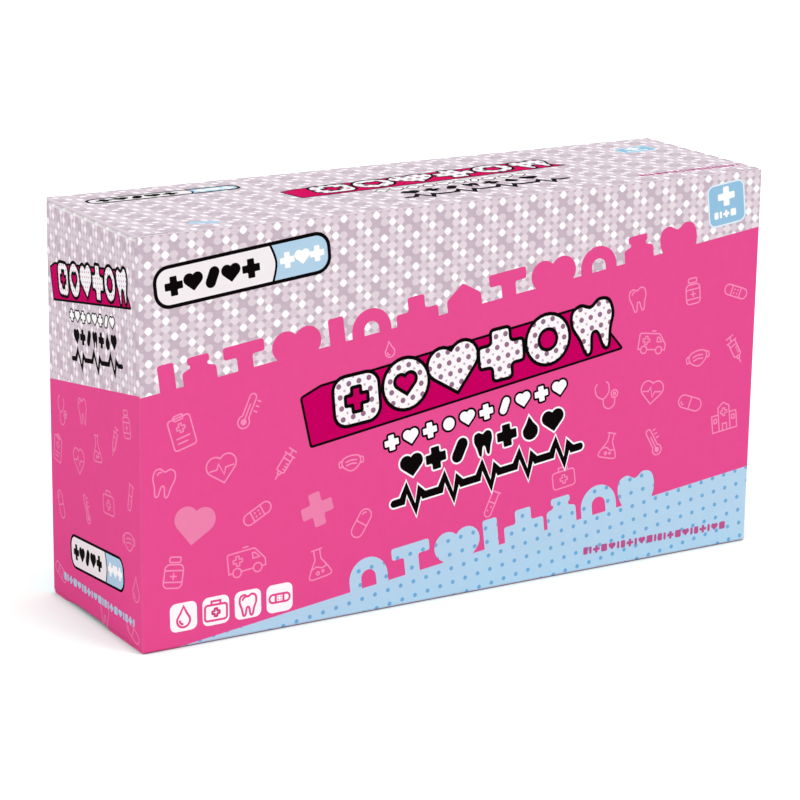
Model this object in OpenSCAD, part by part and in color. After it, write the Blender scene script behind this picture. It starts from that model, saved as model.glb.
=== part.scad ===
// Toy doctor case: a printed tuck-top carton of thin corrugated board with a self-locking bottom.
// Millimetres, +Z up. The origin is on the floor under the middle of the carton.
// +X runs along the front panel and +Y points to the back.

/* [Carton] */
// Outside width of the front panel
box_w = 360; // [300:1:420]
// Outside depth from the front panel to the back panel
box_d = 102; // [90:1:130]
// Outside height with the lid closed
box_h = 203; // [160:1:240]
// Thickness of the corrugated board
board_t = 1.5; // [1.2:0.1:1.8]
// How far the front panel's cut top edge lies below the lid's face
front_drop = 0.4; // [0.2:0.1:0.7]

/* [Lid and tuck flap] */
// Gap from the lid's side edges to the carton's outline
lid_side_gap = 0.5; // [0.3:0.1:1.5]
// Gap between the front panel and the lid's front crease
tuck_gap = 0.3; // [0.2:0.1:0.6]
// Depth of the tuck flap below the lid's front crease
tuck_depth = 20; // [14:1:22]
// How far the closed tuck flap leans away from the front panel, in degrees
tuck_lean = 8.6; // [8.6:0.1:11]
// Length of the slit at each end of the tuck crease
slit_len = 16; // [10:1:24]
// Distance from the lid's side edge to the tuck flap's ear
ear_inset = 6.5; // [6:0.5:9]
// Corner radius of the tuck flap
tuck_corner_r = 10; // [6:1:14]
// Furthest the lid opens, in degrees
lid_open = 118; // [95:1:125]

/* [Dust flaps] */
// Length of a dust flap from its crease
dust_len = 62; // [50:1:75]
// Front edge of a dust flap, behind the carton's front face
dust_front = 7; // [7:0.5:12]
// Rear edge of a dust flap, ahead of the carton's back face
dust_rear = 9.5; // [6:0.5:16]
// Corner radius of a dust flap
dust_corner_r = 9; // [4:1:12]
// Thickness of the printed liner that bends over a dust flap's crease
liner_t = 0.3; // [0.2:0.05:0.4]

/* [Glue seam] */
// Width of the glue flap inside the back panel
glue_w = 24; // [18:1:30]
// Slope of the glue flap's cut ends, as their height over the whole width
glue_taper = 11; // [6:1:16]

/* [Self-locking bottom] */
// Length of the flaps that hang from the end panels
end_flap_len = 47.5; // [40:0.5:48]
// How far a locking tongue reaches past the middle seam
tongue_reach = 20; // [14:1:24]
// Length along the seam of a locking tongue
tongue_len = 112; // [80:1:120]
// Length of the bend that lifts a tongue over the other flap
lift_len = 8.7; // [6:0.1:12]
// Depth of the score along a glued corner's diagonal crease
score_depth = 0.35; // [0.2:0.05:0.5]

/* [Hidden] */
$fn = 96;

print_pink = "#ec5092";
print_lilac = "#dccfda";
board_white = "#d9d3c8";

half_w = box_w / 2;
half_d = box_d / 2;

// Hair gaps that keep moving or stacked layers apart
slide_gap = 0.02;
stack_gap = 0.1;
lock_gap = 0.05;

// The lid's two creases run along the middle of the board, so each nose has half its thickness
nose_r = board_t / 2;
lid_crease_y = half_d - nose_r;
lid_crease_z = box_h - nose_r;
lid_half_w = half_w - lid_side_gap;
tuck_crease_y = -half_d + board_t + tuck_gap + nose_r;
// Past a right angle the outer faces would meet, so both are cut back by half of what is left
lid_relief = (lid_open - 90) / 2 + 0.5;
// Where the inner faces of the lid and the leaning tuck flap meet, from the crease along either
tuck_corner = nose_r / tan((90 - tuck_lean) / 2);
tuck_hinge_half = lid_half_w - slit_len;
ear_half = lid_half_w - ear_inset;
ear_taper = 3;
ear_top = nose_r + 0.25;
slit_cut_back = 0.2;

// A dust flap turns about the inner corner of its end panel, just under the lid
dust_crease_x = half_w - board_t;
dust_crease_z = box_h - 2 * board_t - stack_gap;
knuckle_r = board_t - liner_t - slide_gap;
dust_side_gap = 0.5;
dust_shoulder = 4;
dust_shoulder_slope = 3.5;
dust_notch = 7;

// The long bottom flaps are the outer layer, and the end flaps lie on them
bottom_half_w = half_w - 0.8;
seam_half_gap = 0.8;
seam_y = -seam_half_gap;
web_corner = [-half_w + board_t, -half_d + board_t];
web_run = seam_y - web_corner.y;
web_tip = web_corner + [web_run, web_run];
web_trim = 12;
web_trim_x = 4;
tongue_side = 4;
slit_w = 1.5;
lift_start = seam_y - lift_len;
lift_height = board_t + lock_gap;
lift_slope = atan(lift_height / lift_len);
lift_step = board_t * tan(lift_slope / 2);
lap = 3;
glue_inset = 2;

// Clearance for cutters that pass right through a face
over = 1;

function unit(v) = v / norm(v);
function polar(r, a) = [r * cos(a), r * sin(a)];

// Half the angle between the two edges that meet at point i of a closed outline
function half_corner(pts, i) =
    let (n = len(pts), a = unit(pts[(i + n - 1) % n] - pts[i]), b = unit(pts[(i + 1) % n] - pts[i]))
    acos(a * b) / 2;

// An outline whose outward corners are rounded with true arcs. A radius of 0 leaves a corner sharp.
module rounded_outline(pts, radii) {
    n = len(pts);
    polygon([
        for (i = [0 : n - 1])
            let (p = pts[i], cut = radii[i] / tan(half_corner(pts, i)))
            each radii[i] == 0 ? [p]
                : [p + cut * unit(pts[(i + n - 1) % n] - p), p + cut * unit(pts[(i + 1) % n] - p)]
    ]);
    for (i = [0 : n - 1])
        if (radii[i] > 0) {
            p = pts[i];
            inward = unit(unit(pts[(i + n - 1) % n] - p) + unit(pts[(i + 1) % n] - p));
            translate(p + inward * radii[i] / sin(half_corner(pts, i)))
                circle(radii[i]);
        }
}

// A slice of a disc between two angles that are at most a right angle apart
module pie(r, from, to) {
    intersection() {
        circle(r);
        polygon([[0, 0], polar(2 * r, from), polar(2 * r, to)]);
    }
}

// A wall's section seen from above: the outer face lies on y = 0 and each creased end is
// half of a rounded corner, cut on the mitre line that it shares with the next wall.
module wall_strip(length, crease_at_start, crease_at_end) {
    start = crease_at_start ? board_t : 0;
    finish = length - (crease_at_end ? board_t : 0);
    translate([start, 0])
        square([finish - start, board_t]);
    if (crease_at_start)
        translate([start, board_t])
            pie(board_t, 225, 270);
    if (crease_at_end)
        translate([finish, board_t])
            pie(board_t, 270, 315);
}

// Draws a section given as (y, z) along X, centred, over the given length
module along_x(length) {
    rotate([90, 0, 90])
        linear_extrude(length, center = true)
            children();
}

// Draws a section given as (x, z) along Y, centred, over the given length
module along_y(length) {
    rotate([90, 0, 0])
        linear_extrude(length, center = true)
            children();
}

// Turns a piece made for the front or the left round to the back or the right
module opposite() {
    rotate([0, 0, 180])
        children();
}

module front_panel() color(print_pink) {
    intersection() {
        linear_extrude(box_h)
            translate([-half_w, -half_d])
                wall_strip(box_w, true, true);
        along_x(box_w) {
            translate([-half_d, board_t])
                square([board_t, box_h - front_drop - board_t]);
            translate([-half_d + board_t, board_t])
                pie(board_t, 180, 225);
        }
    }
}

// The right edge is a plain cut that covers the glue seam, and the rounded top is the lid's crease
module back_panel() color(print_pink) {
    intersection() {
        linear_extrude(box_h)
            translate([half_w, half_d])
                rotate(180)
                    wall_strip(box_w, false, true);
        along_x(box_w) {
            translate([half_d - board_t, board_t])
                square([board_t, lid_crease_z - nose_r - board_t]);
            translate([half_d - board_t, board_t])
                pie(board_t, 315, 360);
            lid_crease_rim();
        }
    }
}

// The back panel's top above its plain part, with the nose that the lid turns about
module lid_crease_rim() {
    polygon([
        [half_d - board_t, lid_crease_z - nose_r],
        [half_d, lid_crease_z - nose_r],
        [half_d, lid_crease_z - nose_r * tan(lid_relief)],
        [lid_crease_y, lid_crease_z]
    ]);
    translate([lid_crease_y, lid_crease_z])
        circle(nose_r);
}

// Section of an end panel at the left: its bottom crease stands on the long bottom flaps,
// and its top is the knuckle that the dust flap's liner slides over.
module end_section() {
    base_z = 2 * board_t;
    translate([-half_w, base_z])
        square([board_t, dust_crease_z - base_z]);
    translate([-half_w + board_t, base_z])
        pie(board_t, 180, 225);
    translate([-dust_crease_x, dust_crease_z])
        pie(knuckle_r, 90, 180);
}

module left_end_panel() color(print_pink) {
    intersection() {
        linear_extrude(box_h)
            translate([-half_w, half_d])
                rotate(-90)
                    wall_strip(box_d, true, true);
        along_y(box_d)
            end_section();
    }
}

// Shorter than the left one by the back panel that laps over its glue flap
module right_end_panel() color(print_pink) {
    intersection() {
        linear_extrude(box_h)
            translate([half_w, -half_d])
                rotate(90)
                    wall_strip(box_d - board_t, true, true);
        opposite()
            along_y(box_d)
                end_section();
    }
}

module glue_flap() color(board_white) {
    inner_x = half_w - board_t - glue_w;
    low = 6;
    high = box_h - 9;
    intersection() {
        linear_extrude(box_h) {
            translate([inner_x, half_d - 2 * board_t])
                square([glue_w, board_t]);
            translate([half_w - board_t, half_d - 2 * board_t])
                pie(board_t, 45, 90);
        }
        along_y(2 * box_d)
            rounded_outline([
                [inner_x, low + glue_taper], [half_w - board_t, low], [half_w + over, low],
                [half_w + over, high], [half_w - board_t, high], [inner_x, high - glue_taper]
            ], [4, 0, 0, 0, 0, 4]);
    }
}

module lid_panel() color(print_lilac) {
    difference() {
        along_x(2 * lid_half_w) {
            difference() {
                polygon([
                    [lid_crease_y, lid_crease_z],
                    [lid_crease_y - nose_r * tan(lid_relief), box_h],
                    [tuck_crease_y, box_h],
                    [tuck_crease_y, lid_crease_z],
                    [tuck_crease_y + tuck_corner, box_h - board_t],
                    [lid_crease_y - nose_r, box_h - board_t]
                ]);
                translate([lid_crease_y, lid_crease_z])
                    circle(nose_r + slide_gap);
            }
            translate([tuck_crease_y, lid_crease_z])
                circle(nose_r);
        }
        // Past the slits the lid ends in a plain cut edge
        for (side = [-1, 1])
            translate([side * lid_half_w, tuck_crease_y + slit_cut_back, box_h - nose_r])
                lid_slit_cutter();
    }
}

module lid_slit_cutter() {
    translate([-slit_len, -2 * board_t, -board_t])
        cube([2 * slit_len, 2 * board_t, 2 * board_t]);
}

// Drawn flat with the crease at the origin, then hung from the lid and leaned inwards.
// X runs along the crease, Y down the flap and Z through the board, from the printed face inwards.
module tuck_flap() color(board_white) {
    translate([0, tuck_crease_y, lid_crease_z])
        rotate([-(90 - tuck_lean), 0, 0])
            intersection() {
                along_x(box_w)
                    difference() {
                        polygon([
                            [0, 0], [tuck_corner, nose_r], [tuck_depth, nose_r],
                            [tuck_depth, -nose_r], [0, -nose_r]
                        ]);
                        circle(nose_r + slide_gap);
                    }
                translate([0, 0, -board_t])
                    linear_extrude(2 * board_t)
                        rounded_outline([
                            [-tuck_hinge_half, -over], [tuck_hinge_half, -over],
                            [tuck_hinge_half, ear_top], [ear_half, ear_top],
                            [ear_half - ear_taper, tuck_depth], [-ear_half + ear_taper, tuck_depth],
                            [-ear_half, ear_top], [-tuck_hinge_half, ear_top]
                        ], [0, 0, 0, 0, tuck_corner_r, tuck_corner_r, 0, 0]);
            }
}

// Made for the left end: the plate, and the liner that wraps the end panel's knuckle
module dust_flap() {
    crease_x = -dust_crease_x;
    tip_x = crease_x + dust_len;
    front_y = -half_d + board_t + dust_side_gap;
    back_y = half_d - 2 * board_t - 0.8;
    inner_front_y = -half_d + dust_front;
    inner_back_y = half_d - dust_rear;
    tip_taper = 6;
    intersection() {
        along_y(box_d)
            translate([crease_x, dust_crease_z]) {
                square([dust_len, board_t]);
                difference() {
                    pie(board_t, 90, 180);
                    circle(board_t - liner_t);
                }
            }
        linear_extrude(box_h + over)
            rounded_outline([
                [-half_w - over, front_y],
                [crease_x + dust_shoulder, front_y],
                [crease_x + dust_shoulder + dust_shoulder_slope, inner_front_y],
                [tip_x - dust_len / 3, inner_front_y],
                [tip_x, inner_front_y + tip_taper],
                [tip_x, inner_back_y - tip_taper],
                [crease_x + dust_notch, inner_back_y],
                [crease_x + over, back_y],
                [-half_w - over, back_y]
            ], [0, 0, 0, 0, dust_corner_r, dust_corner_r, 0, 0, 0]);
    }
}

module left_dust_flap() color(print_lilac)
    dust_flap();

module right_dust_flap() color(print_lilac)
    mirror([1, 0, 0])
        dust_flap();

// A long bottom flap, made for the front. One half ends at the seam, and the other bends up
// over the opposite flap as a tongue, so that the two hold each other down.
module long_bottom_flap() {
    tongue_end = -tongue_side - tongue_len;
    intersection() {
        along_x(box_w) {
            translate([-half_d + board_t, board_t])
                pie(board_t, 225, 270);
            translate([-half_d + board_t, 0])
                square([half_d - board_t - seam_half_gap, board_t]);
        }
        difference() {
            linear_extrude(2 * board_t)
                rounded_outline([
                    [-bottom_half_w, -half_d - over], [bottom_half_w, -half_d - over],
                    [bottom_half_w, web_corner.y + web_trim],
                    [bottom_half_w - 2 * web_trim_x, seam_y],
                    [slit_w - tongue_side, seam_y], [slit_w - tongue_side, lift_start],
                    [tongue_end, lift_start], [tongue_end - web_trim_x, seam_y],
                    web_tip, web_corner, [-bottom_half_w, web_corner.y]
                ], [0, 0, 0, 6, 0, 0, 0, 0, 0, 0, 0]);
            web_score();
        }
    }
    intersection() {
        along_x(box_w)
            polygon([
                [lift_start - lap, 0], [lift_start, 0], [seam_y, lift_height],
                [tongue_reach, lift_height], [tongue_reach, lift_height + board_t],
                [seam_y - lift_step, lift_height + board_t], [lift_start - lift_step, board_t],
                [lift_start - lap, board_t]
            ]);
        linear_extrude(3 * board_t + lock_gap)
            rounded_outline([
                [tongue_end, lift_start - lap], [-tongue_side, lift_start - lap],
                [-tongue_side, tongue_reach / 2], [-tongue_side - 9, tongue_reach + over / 4],
                [tongue_end + 14, tongue_reach + over / 4]
            ], [0, 0, 3, 0, 9]);
    }
}

// The pressed line on the underside where a glued corner parts from its flap
module web_score() {
    translate([web_corner.x, web_corner.y, 0])
        rotate([0, 0, 45])
            rotate([45, 0, 0])
                cube([2 * web_run * sqrt(2), 2 * score_depth, 2 * score_depth], center = true);
}

// The corner of a long bottom flap that is glued under the end flap above it
module corner_web() {
    difference() {
        linear_extrude(board_t)
            rounded_outline([
                [-bottom_half_w, web_corner.y], web_corner, web_tip,
                [-bottom_half_w + web_trim_x, seam_y], [-bottom_half_w, seam_y - web_trim]
            ], [0, 0, 0, 3, 0]);
        web_score();
    }
}

// An end panel's bottom flap, made for the left. Its front edge follows the glued corner's crease.
module end_bottom_flap() {
    crease_x = -half_w + board_t;
    tip_x = crease_x + end_flap_len;
    near_y = -half_d + board_t + dust_side_gap;
    far_y = half_d - board_t - dust_side_gap;
    intersection() {
        along_y(box_d)
            translate([crease_x, 2 * board_t]) {
                pie(board_t, 225, 270);
                translate([0, -board_t])
                    square([end_flap_len, board_t]);
            }
        linear_extrude(2 * board_t)
            rounded_outline([
                [-half_w - over, near_y], [crease_x + 1, near_y],
                [crease_x + 1, web_corner.y + 1 + glue_inset],
                [tip_x, web_corner.y + end_flap_len + glue_inset],
                [tip_x, far_y - 14], [crease_x + 6, far_y], [-half_w - over, far_y]
            ], [0, 0, 0, 0, 7, 0, 0]);
    }
}

module bottom_front_flap() color(print_pink)
    long_bottom_flap();

module bottom_front_web() color(board_white)
    corner_web();

module bottom_back_flap() color(print_pink)
    opposite()
        long_bottom_flap();

module bottom_back_web() color(board_white)
    opposite()
        corner_web();

module bottom_left_flap() color(board_white)
    end_bottom_flap();

module bottom_right_flap() color(board_white)
    opposite()
        end_bottom_flap();

front_panel();
back_panel();
left_end_panel();
right_end_panel();
glue_flap();
lid_panel();
tuck_flap();
left_dust_flap();
right_dust_flap();
bottom_front_flap();
bottom_front_web();
bottom_back_flap();
bottom_back_web();
bottom_left_flap();
bottom_right_flap();
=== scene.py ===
import math
from functools import partial

import bmesh
import bpy
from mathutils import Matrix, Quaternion, Vector
from mathutils.geometry import tessellate_polygon


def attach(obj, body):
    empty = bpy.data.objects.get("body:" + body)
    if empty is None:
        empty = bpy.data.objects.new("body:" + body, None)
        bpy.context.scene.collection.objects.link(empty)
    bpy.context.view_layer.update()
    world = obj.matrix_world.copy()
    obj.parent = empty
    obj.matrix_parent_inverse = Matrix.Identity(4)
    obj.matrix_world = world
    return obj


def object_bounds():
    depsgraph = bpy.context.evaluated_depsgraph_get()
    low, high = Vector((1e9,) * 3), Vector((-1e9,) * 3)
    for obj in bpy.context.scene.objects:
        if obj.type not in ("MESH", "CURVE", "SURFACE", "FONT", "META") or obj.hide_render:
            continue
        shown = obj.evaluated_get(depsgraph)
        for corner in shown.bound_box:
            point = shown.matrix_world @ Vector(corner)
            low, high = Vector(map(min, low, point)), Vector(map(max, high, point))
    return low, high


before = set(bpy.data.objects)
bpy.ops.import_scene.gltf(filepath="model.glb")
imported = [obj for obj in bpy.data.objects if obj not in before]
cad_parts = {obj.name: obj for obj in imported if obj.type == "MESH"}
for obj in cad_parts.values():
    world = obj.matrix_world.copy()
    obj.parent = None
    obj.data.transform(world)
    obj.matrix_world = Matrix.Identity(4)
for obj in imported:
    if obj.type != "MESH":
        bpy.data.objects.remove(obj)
cadLow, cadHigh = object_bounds()
mm = 0.001
print("stage: frame loaded")


def addObject(name, data):
    # links a new object to the scene; a bmesh is made into mesh data first
    if isinstance(data, bmesh.types.BMesh):
        drawn, data = data, bpy.data.meshes.new(name)
        drawn.to_mesh(data)
        drawn.free()
    made = bpy.data.objects.new(name, data)
    bpy.context.scene.collection.objects.link(made)
    return made


# Camera, solved from the carton's corners
cameraSetup = dict(place=(-723.61, -1178.24, 474.11), heading=31.28, drop=15.55, roll=0.8,
                   lens=125.74, sensor=36.0)


def makeCamera(setup):
    heading, drop = math.radians(setup["heading"]), math.radians(setup["drop"])
    level = math.cos(drop)
    forward = Vector((math.sin(heading) * level, math.cos(heading) * level, -math.sin(drop)))
    camera = addObject("camera", bpy.data.cameras.new("camera"))
    camera.data.lens = setup["lens"]
    camera.data.sensor_width = setup["sensor"]
    camera.data.clip_end = 50.0
    camera.location = Vector(setup["place"]) * mm
    camera.rotation_mode = "QUATERNION"
    roll = Quaternion((0, 0, 1), math.radians(setup["roll"]))
    camera.rotation_quaternion = forward.to_track_quat("-Z", "Y") @ roll
    bpy.context.scene.camera = camera


makeCamera(cameraSetup)
print("stage: camera placed")


# Node tools
def linear(hexColour):
    parts = [int(hexColour[i:i + 2], 16) / 255 for i in (0, 2, 4)]
    return tuple(p / 12.92 if p <= 0.04045 else ((p + 0.055) / 1.055) ** 2.4 for p in parts) + (1.0,)


def addNode(tree, kind, links=(), out=0, **settings):
    # adds one node with its settings and links, and gives back the output that is used. A second
    # word in kind is its operation, or RGBA for a mix of colours, which are its inputs 6 and 7 and
    # come out third. A hex colour goes in as linear.
    kind, *more = kind.split()
    node = tree.nodes.new("ShaderNode" + kind)
    for word in more:
        setattr(node, "data_type" if kind == "Mix" else "operation", word)
        out = 2 if word == "RGBA" else out
    for name, value in settings.items():
        setattr(node, name, value)
    pairs = links.items() if isinstance(links, dict) else enumerate(links)
    for place, value in pairs:
        if isinstance(value, bpy.types.NodeSocket):
            tree.links.new(value, node.inputs[place])
        else:
            node.inputs[place].default_value = linear(value) if isinstance(value, str) else value
    return node.outputs[out] if node.outputs else node


def startNodes(owner):
    # empties a material's or the world's node tree, and gives back addNode for that tree
    owner.use_nodes = True
    owner.node_tree.nodes.clear()
    return partial(addNode, owner.node_tree)


def placeInMm(add):
    # the frame's own coordinates in millimetres, and the surface's own direction
    place = add("TexCoord", out="Object")
    normal = place.node.outputs["Normal"]
    return add("VectorMath SCALE", {0: place, 3: 1 / mm}), normal


def ramp(add, value, gain, edge):
    # 1 where value is above edge and 0 where it is below, with a soft step between them
    over = add("Math SUBTRACT", [value, edge])
    return add("Math MULTIPLY_ADD", [over, gain, 0.5], use_clamp=True)


# Printed patterns, in millimetres on the flat sheet
sequin = dict(tile=4.0, roundPower=2.0, roundReach=0.465, whitePower=1.42, whiteReach=0.465,
              whiteTall=-0.13, edgeGain=15.0, gapRadius=0.27, neckGain=10.0,
              order=("white", "mid", "pale", "mid", "white", "light", "ground", "light"))
strong = dict(white="FEFDFE", pale="EADEE5", light="E7DBE2", mid="DED0D9", ground="C9B8C4", gap="C7B6C3")
soft = dict(white="FDF6FB", pale="E0D3DB", light="E4D8DF", mid="DBCDD6", ground="C8B6C3", gap="CBBBC7")
mild = dict(white="FDF8FC", pale="E4D8E0", light="E2D6DE", mid="D7C9D2", ground="C6B6C1", gap="D0C2CC")
polka = dict(pitch=7.5, radius=1.12, turn=8.1, start=(1.27, 3.11), ground="B7D9EF", dot="70AEDA")
bubbles = dict(pitch=5.7, radius=1.38, small=0.66, turn=9.0, ground="FBF8FA", dot="95708A", pale="D0B6C7",
               fineStep=0.42, fineDot="CDB3C4", finePale="EADBE4")
edgeGain = dict(plate=12.0, dot=5.0)   # how sharp a printed edge is, per mm
# the lid's magenta is this magenta painted lighter, to make up for how the light falls on the top
inkColours = dict(pink="E75093", magenta="C60060", magentaLid="D2005C", rose="C0568F", berry="BC5890",
                  black="0D090A", white="FFFFFF", paper="F3EEF1", sky="94C3E1", skyPale="B3D3E9",
                  skyEdge="E2F1F9", iconPink="F892BE", iconShade="EE86B0")


def spotKind(add, cell):
    # a cell's column, whether it lies in the tile's upper two rows, and its place on from the white spot
    column = add("SeparateXYZ", [cell])
    row = add("Math FLOORED_MODULO", [column.node.outputs[1], sequin["tile"]])
    # from row to row the white spot steps on by one column, then two, then three
    shift = add("Math MULTIPLY_ADD", [row, row, row])
    shift = add("Math MULTIPLY_ADD", [shift, -0.5, column])
    shift = add("Math SUBTRACT", [shift, sequin["tile"] - 1])
    shift = add("Math FLOORED_MODULO", [shift, sequin["tile"]])
    return column, add("Math GREATER_THAN", [row, 1.5]), shift


def sequins(add, u, v, lattice):
    # round spots that run together, in a tile of four by four that repeats over the sheet
    spot = add("CombineXYZ", [u, v, 0.0])
    spot = add("VectorMath SUBTRACT", [spot, lattice["start"] + (0.0,)])
    spot = add("VectorMath DIVIDE", [spot, lattice["pitch"] + (1.0,)])
    cell = add("VectorMath FLOOR", [spot])
    local = add("VectorMath SUBTRACT", [spot, cell])
    local = add("VectorMath SUBTRACT", [local, (0.5, 0.5, 0.0)])
    offCentre = add("VectorMath ABSOLUTE", [local])
    across = add("SeparateXYZ", [offCentre])
    up = across.node.outputs[1]

    # each kind of spot has its own tone, four kinds in the lower rows and four in the upper
    column, upper, shift = spotKind(add, cell)
    isWhite = add("Math LESS_THAN", [shift, 0.5])
    key = add("Math MULTIPLY_ADD", [upper, sequin["tile"], shift])
    kinds = len(sequin["order"])
    key = add("Math MULTIPLY_ADD", [key, 1 / kinds, 0.5 / kinds])
    tone = add("ValToRGB", [key])
    tones, stops = lattice["tones"], tone.node.color_ramp
    stops.interpolation = "CONSTANT"
    stops.elements[1].position = (kinds - 1) / kinds
    for k in range(1, kinds - 1):
        stops.elements.new(k / kinds)
    for stop, name in zip(stops.elements, sequin["order"]):
        stop.color = linear(tones[name])

    # two columns of the upper rows sink into a darker patch
    patch = add("Math ADD", [column, 1.0])
    patch = add("Math FLOORED_MODULO", [patch, sequin["tile"]])
    patch = add("Math LESS_THAN", [patch, 1.5])
    patch = add("Math MULTIPLY", [patch, upper])
    patch = add("Math MULTIPLY", [patch, lattice["patch"]])
    tone = add("Mix RGBA", {0: patch, 6: tone, 7: tones["ground"]})

    # coloured spots are round, white ones are nearly square and stand on a corner
    morePower = sequin["whitePower"] - sequin["roundPower"]
    power = add("Math MULTIPLY_ADD", [isWhite, morePower, sequin["roundPower"]])
    roundLimit = sequin["roundReach"] ** sequin["roundPower"]
    whiteLimit = sequin["whiteReach"] ** sequin["whitePower"]
    limit = add("Math MULTIPLY_ADD", [isWhite, whiteLimit - roundLimit, roundLimit])
    acrossPart = add("Math POWER", [across, power])
    upPart = add("Math MULTIPLY_ADD", [isWhite, sequin["whiteTall"], 1.0])
    upPart = add("Math MULTIPLY", [upPart, up])
    upPart = add("Math POWER", [upPart, power])
    far = add("Math ADD", [acrossPart, upPart])
    inside = ramp(add, limit, sequin["edgeGain"], far)

    # a coloured spot runs into its neighbour, unless that one is bare ground
    wide = add("Math GREATER_THAN", [across, up])
    high = add("Math SUBTRACT", [1.0, wide])
    way = add("CombineXYZ", [wide, high, 0.0])
    sign = add("VectorMath SIGN", [local])
    beside = add("VectorMath MULTIPLY_ADD", [sign, way, cell])
    _, upperBeside, shiftBeside = spotKind(add, beside)
    bare = add("Math COMPARE", [shiftBeside, 2.0, 0.5])
    bare = add("Math MULTIPLY_ADD", [bare, upperBeside, isWhite], use_clamp=True)
    filled = add("Math SUBTRACT", [1.0, bare])
    corner = add("VectorMath DISTANCE", [offCentre, (0.5, 0.5, 0.0)], "Value")
    neck = ramp(add, corner, sequin["neckGain"], sequin["gapRadius"])
    neck = add("Math MULTIPLY", [neck, filled])
    inside = add("Math MAXIMUM", [inside, neck])
    return add("Mix RGBA", {0: inside, 6: tones["gap"], 7: tone})


def dotLattice(add, u, v, pitch, radius, turn, start=(0.0, 0.0)):
    # 1 inside the dots of a square lattice that is turned by some degrees
    spot = add("CombineXYZ", [u, v, 0.0])
    spot = add("VectorRotate", {"Vector": spot, "Angle": -math.radians(turn)}, rotation_type="Z_AXIS")
    spot = add("VectorMath ADD", [spot, (start[0], start[1], 0.0)])
    spot = add("VectorMath SCALE", {0: spot, 3: 1 / pitch})
    spot = add("VectorMath FRACTION", [spot])
    spot = add("VectorMath SUBTRACT", [spot, (0.5, 0.5, 0.0)])
    far = add("VectorMath LENGTH", [spot], "Value")
    return ramp(add, radius / pitch, edgeGain["dot"] * pitch, far)


def polkaField(add, u, v):
    inside = dotLattice(add, u, v, polka["pitch"], polka["radius"], polka["turn"], polka["start"])
    return add("Mix RGBA", {0: inside, 6: polka["ground"], 7: polka["dot"]})


def bubbleField(add, u, v, step=1.0, dot="dot", pale="pale"):
    # mauve dots with small pale ones between them, on white
    pitch, turn = bubbles["pitch"] * step, bubbles["turn"]
    big = dotLattice(add, u, v, pitch, bubbles["radius"] * step, turn)
    small = dotLattice(add, u, v, pitch, bubbles["small"] * step, turn, (pitch / 2, pitch / 2))
    ground = add("Mix RGBA", {0: small, 6: bubbles["ground"], 7: bubbles[pale]})
    return add("Mix RGBA", {0: big, 6: ground, 7: bubbles[dot]})


def aboveLine(add, u, v, edge):
    # 1 above a straight print edge, as sharp as a litho plate leaves it
    level = add("Math MULTIPLY_ADD", [u, edge["slope"], edge["at"]])
    return ramp(add, v, edgeGain["plate"], level)


# Litho print under matt polypropylene film: it swallows nearly all reflection, so colours stay deep
film = dict(ior=1.5, specular=0.003, roughness=0.48, roughSpread=0.06, mottleSize=7.0, mottle=0.03,
            fluteStep=3.3, fluteDepth=0.006, grainSize=0.9, grainDepth=0.0025)


def filmed(add, place, alongFlutes, field, u, v):
    # slight unevenness of the ink, and the board's flutes and grain just showing through as relief;
    # field is one colour, or a function that gives the colour at u and v
    colour = field(add, u, v) if callable(field) else linear(field)[:3]
    patch = add("TexNoise", {"Vector": place, "Scale": 1 / film["mottleSize"], "Detail": 4.0})
    dim, spread = 1 - film["mottle"], film["roughSpread"]
    shade = add("Math MULTIPLY_ADD", [patch, film["mottle"] * 2, dim])
    colour = add("VectorMath SCALE", {0: colour, 3: shade})
    grain = add("TexNoise", {"Vector": place, "Scale": 1 / film["grainSize"], "Detail": 2.0})
    rough = add("Math MULTIPLY_ADD", [patch, spread * 2, film["roughness"] - spread])
    wave = add("Math MULTIPLY", [alongFlutes, 2 * math.pi / film["fluteStep"]])
    wave = add("Math SINE", [wave])
    wave = add("Math MULTIPLY", [wave, film["fluteDepth"]])
    height = add("Math MULTIPLY_ADD", [grain, film["grainDepth"], wave])
    return colour, rough, height


def finishSurface(add, colour, rough, height, ior):
    bump = add("Bump", {"Strength": 1.0, "Distance": mm, "Height": height})
    shader = add("BsdfPrincipled", {"Base Color": colour, "Roughness": rough, "IOR": ior,
                                    "Specular IOR Level": film["specular"], "Normal": bump})
    add("OutputMaterial", {"Surface": shader})


def sheetPlace(add, place, normal):
    # where a point lies on its own printed face, found from the way the face looks
    x = add("SeparateXYZ", [place])
    facing = add("SeparateXYZ", [normal])
    y, z = x.node.outputs[1], x.node.outputs[2]
    backward = add("Math MULTIPLY", [facing.node.outputs[1], -1.0])
    uFirst = add("Math ADD", [facing.node.outputs[2], backward])
    uFirst = add("Math MULTIPLY", [uFirst, x])
    u = add("Math MULTIPLY_ADD", [facing, y, uFirst])
    upright = add("Math SUBTRACT", [1.0, facing.node.outputs[2]])
    vFirst = add("Math MULTIPLY", [upright, z])
    v = add("Math MULTIPLY_ADD", [facing.node.outputs[2], y, vFirst])
    return u, v


def inkMaterial(name, field):
    # litho ink under matt film: flat strong colour without gloss, with a trace of mottle
    material = bpy.data.materials.new(name + "UnderMattFilm")
    add = startNodes(material)
    place, normal = placeInMm(add)
    u, v = sheetPlace(add, place, normal)
    finishSurface(add, *filmed(add, place, u, field, u, v), film["ior"])
    return material


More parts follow.
